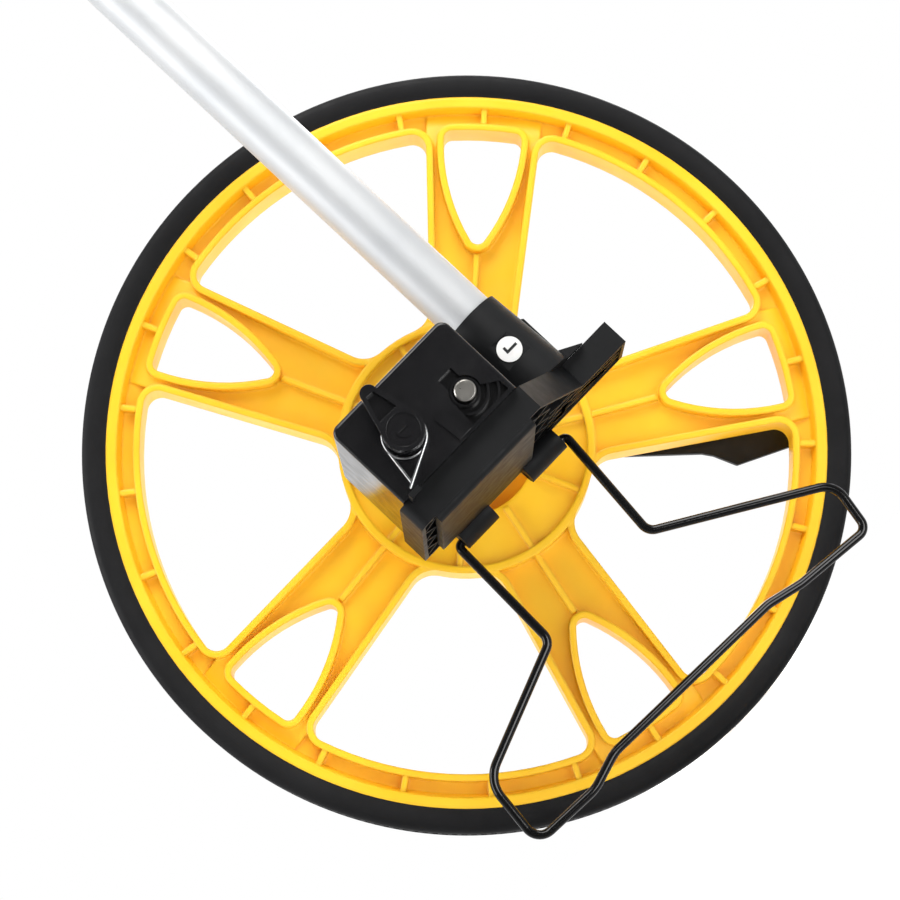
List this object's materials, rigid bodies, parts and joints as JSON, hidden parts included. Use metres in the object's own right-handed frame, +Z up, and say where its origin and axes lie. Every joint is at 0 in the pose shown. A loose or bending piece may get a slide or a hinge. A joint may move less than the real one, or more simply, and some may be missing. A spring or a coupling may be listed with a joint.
{
  "type": "measuring wheel",
  "caption": "Surveyor's measuring wheel with a spoked yellow wheel, side counter with reset lever, wire stand and folding handle.",
  "frame": {"origin": "where the middle of the tyre touches the ground, straight below the axle", "axes": "+Z up along the handle, +Y along the axle away from the counter, +X to the right seen from the counter"},
  "size_m": [0.3183, 0.174, 1.0482],
  "materials": {
    "tyre_rubber": "matt moulded rubber",
    "yellow_plastic": "moulded polypropylene, satin gloss",
    "gloss_black_plastic": "moulded ABS, glossy",
    "satin_black_plastic": "moulded ABS, satin",
    "anodised_aluminium": "matt silver anodised",
    "bright_steel": "turned, zinc bright",
    "black_painted_wire": "gloss black coating on steel wire",
    "sintered_bronze": "sintered bushing",
    "white_acetal": "moulded acetal",
    "drum_plastic": "moulded number drum",
    "clear_lens": "clear acrylic",
    "white_label": "printed vinyl",
    "grip_rubber": "soft moulded grip"
  },
  "bodies": {
    "frame": {"bracket_beam": "satin_black_plastic", "stand_panel": "satin_black_plastic", "handle_socket": "satin_black_plastic", "socket_label": "white_label", "socket_screw": "bright_steel", "lower_tube": "anodised_aluminium", "fold_block_lower": "satin_black_plastic", "fold_pin": "bright_steel", "counter_housing": "gloss_black_plastic", "counter_cover": "gloss_black_plastic", "housing_screws": "bright_steel", "window_lens": "clear_lens", "counter_cradle": "white_acetal", "drum_shaft": "bright_steel", "pinion_shaft": "bright_steel", "axle": "bright_steel", "axle_spacer": "bright_steel", "axle_washer": "bright_steel", "axle_nut": "bright_steel", "pointer_arm": "satin_black_plastic", "torsion_spring": "bright_steel", "spring_post": "satin_black_plastic"},
    "wheel": {"tyre": "tyre_rubber", "wheel_moulding": "yellow_plastic", "hub_bush_front": "sintered_bronze", "hub_bush_back": "sintered_bronze", "drive_sleeve": "white_acetal"},
    "reset_lever": {"reset_lever": "gloss_black_plastic", "lever_cap": "gloss_black_plastic"},
    "stand": {"wire_stand": "black_painted_wire"},
    "upper_handle": {"fold_block_upper": "satin_black_plastic", "upper_tube": "anodised_aluminium", "grip": "grip_rubber", "grip_cap": "satin_black_plastic"},
    "fold_knob": {"fold_knob": "satin_black_plastic"},
    "drum_1": {"number_drum_1": "drum_plastic"},
    "drum_2": {"number_drum_2": "drum_plastic"},
    "drum_3": {"number_drum_3": "drum_plastic"},
    "drum_4": {"number_drum_4": "drum_plastic"},
    "drum_5": {"number_drum_5": "drum_plastic"},
    "pinion_1": {"transfer_pinion_1": "white_acetal"},
    "pinion_2": {"transfer_pinion_2": "white_acetal"},
    "pinion_3": {"transfer_pinion_3": "white_acetal"},
    "pinion_4": {"transfer_pinion_4": "white_acetal"}
  },
  "joints": [
    {"name": "wheel_spin", "type": "hinge", "parent": "frame", "child": "wheel", "pos_m": [0, 0, 0.15915], "axis": [0, 1, 0], "continuous": true},
    {"name": "reset_turn", "type": "hinge", "parent": "frame", "child": "reset_lever", "pos_m": [-0.0282, -0.13, 0.16336], "axis": [0, 1, 0], "range_deg": [0, 35], "stiffness_Nm_per_rad": 0.06, "springref_deg": -20.05},
    {"name": "stand_swing", "type": "hinge", "parent": "frame", "child": "stand", "pos_m": [-0.0039, -0.036, 0.12985], "axis": [-1, 0, 0], "range_deg": [0, 75]},
    {"name": "handle_fold", "type": "hinge", "parent": "frame", "child": "upper_handle", "pos_m": [0.0575, -0.072, 0.59115], "axis": [0, 1, 0], "range_deg": [0, 180]},
    {"name": "knob_turn", "type": "hinge", "parent": "frame", "child": "fold_knob", "pos_m": [0.0575, -0.09, 0.59115], "axis": [0, 1, 0], "range_deg": [0, 180]},
    {"name": "drum_1_spin", "type": "hinge", "parent": "frame", "child": "drum_1", "pos_m": [-0.014, -0.0917, 0.17085], "axis": [0, 1, 0], "continuous": true},
    {"name": "drum_2_spin", "type": "hinge", "parent": "frame", "child": "drum_2", "pos_m": [-0.014, -0.0817, 0.17085], "axis": [0, 1, 0], "continuous": true},
    {"name": "drum_3_spin", "type": "hinge", "parent": "frame", "child": "drum_3", "pos_m": [-0.014, -0.0717, 0.17085], "axis": [0, 1, 0], "continuous": true},
    {"name": "drum_4_spin", "type": "hinge", "parent": "frame", "child": "drum_4", "pos_m": [-0.014, -0.0617, 0.17085], "axis": [0, 1, 0], "continuous": true},
    {"name": "drum_5_spin", "type": "hinge", "parent": "frame", "child": "drum_5", "pos_m": [-0.014, -0.0517, 0.17085], "axis": [0, 1, 0], "continuous": true},
    {"name": "pinion_1_spin", "type": "hinge", "parent": "frame", "child": "pinion_1", "pos_m": [-0.02559, -0.0867, 0.16041], "axis": [0, 1, 0], "continuous": true},
    {"name": "pinion_2_spin", "type": "hinge", "parent": "frame", "child": "pinion_2", "pos_m": [-0.02559, -0.0767, 0.16041], "axis": [0, 1, 0], "continuous": true},
    {"name": "pinion_3_spin", "type": "hinge", "parent": "frame", "child": "pinion_3", "pos_m": [-0.02559, -0.0667, 0.16041], "axis": [0, 1, 0], "continuous": true},
    {"name": "pinion_4_spin", "type": "hinge", "parent": "frame", "child": "pinion_4", "pos_m": [-0.02559, -0.0567, 0.16041], "axis": [0, 1, 0], "continuous": true}
  ],
  "couplings": [
    {"joint": "drum_1_spin", "follows": "wheel_spin", "ratio": -1},
    {"joint": "drum_2_spin", "follows": "wheel_spin", "ratio": -0.1},
    {"joint": "drum_3_spin", "follows": "wheel_spin", "ratio": -0.01},
    {"joint": "drum_4_spin", "follows": "wheel_spin", "ratio": -0.001},
    {"joint": "drum_5_spin", "follows": "wheel_spin", "ratio": -0.0001},
    {"joint": "pinion_1_spin", "follows": "wheel_spin", "ratio": 0.25},
    {"joint": "pinion_2_spin", "follows": "wheel_spin", "ratio": 0.025},
    {"joint": "pinion_3_spin", "follows": "wheel_spin", "ratio": 0.0025},
    {"joint": "pinion_4_spin", "follows": "wheel_spin", "ratio": 0.00025}
  ]
}
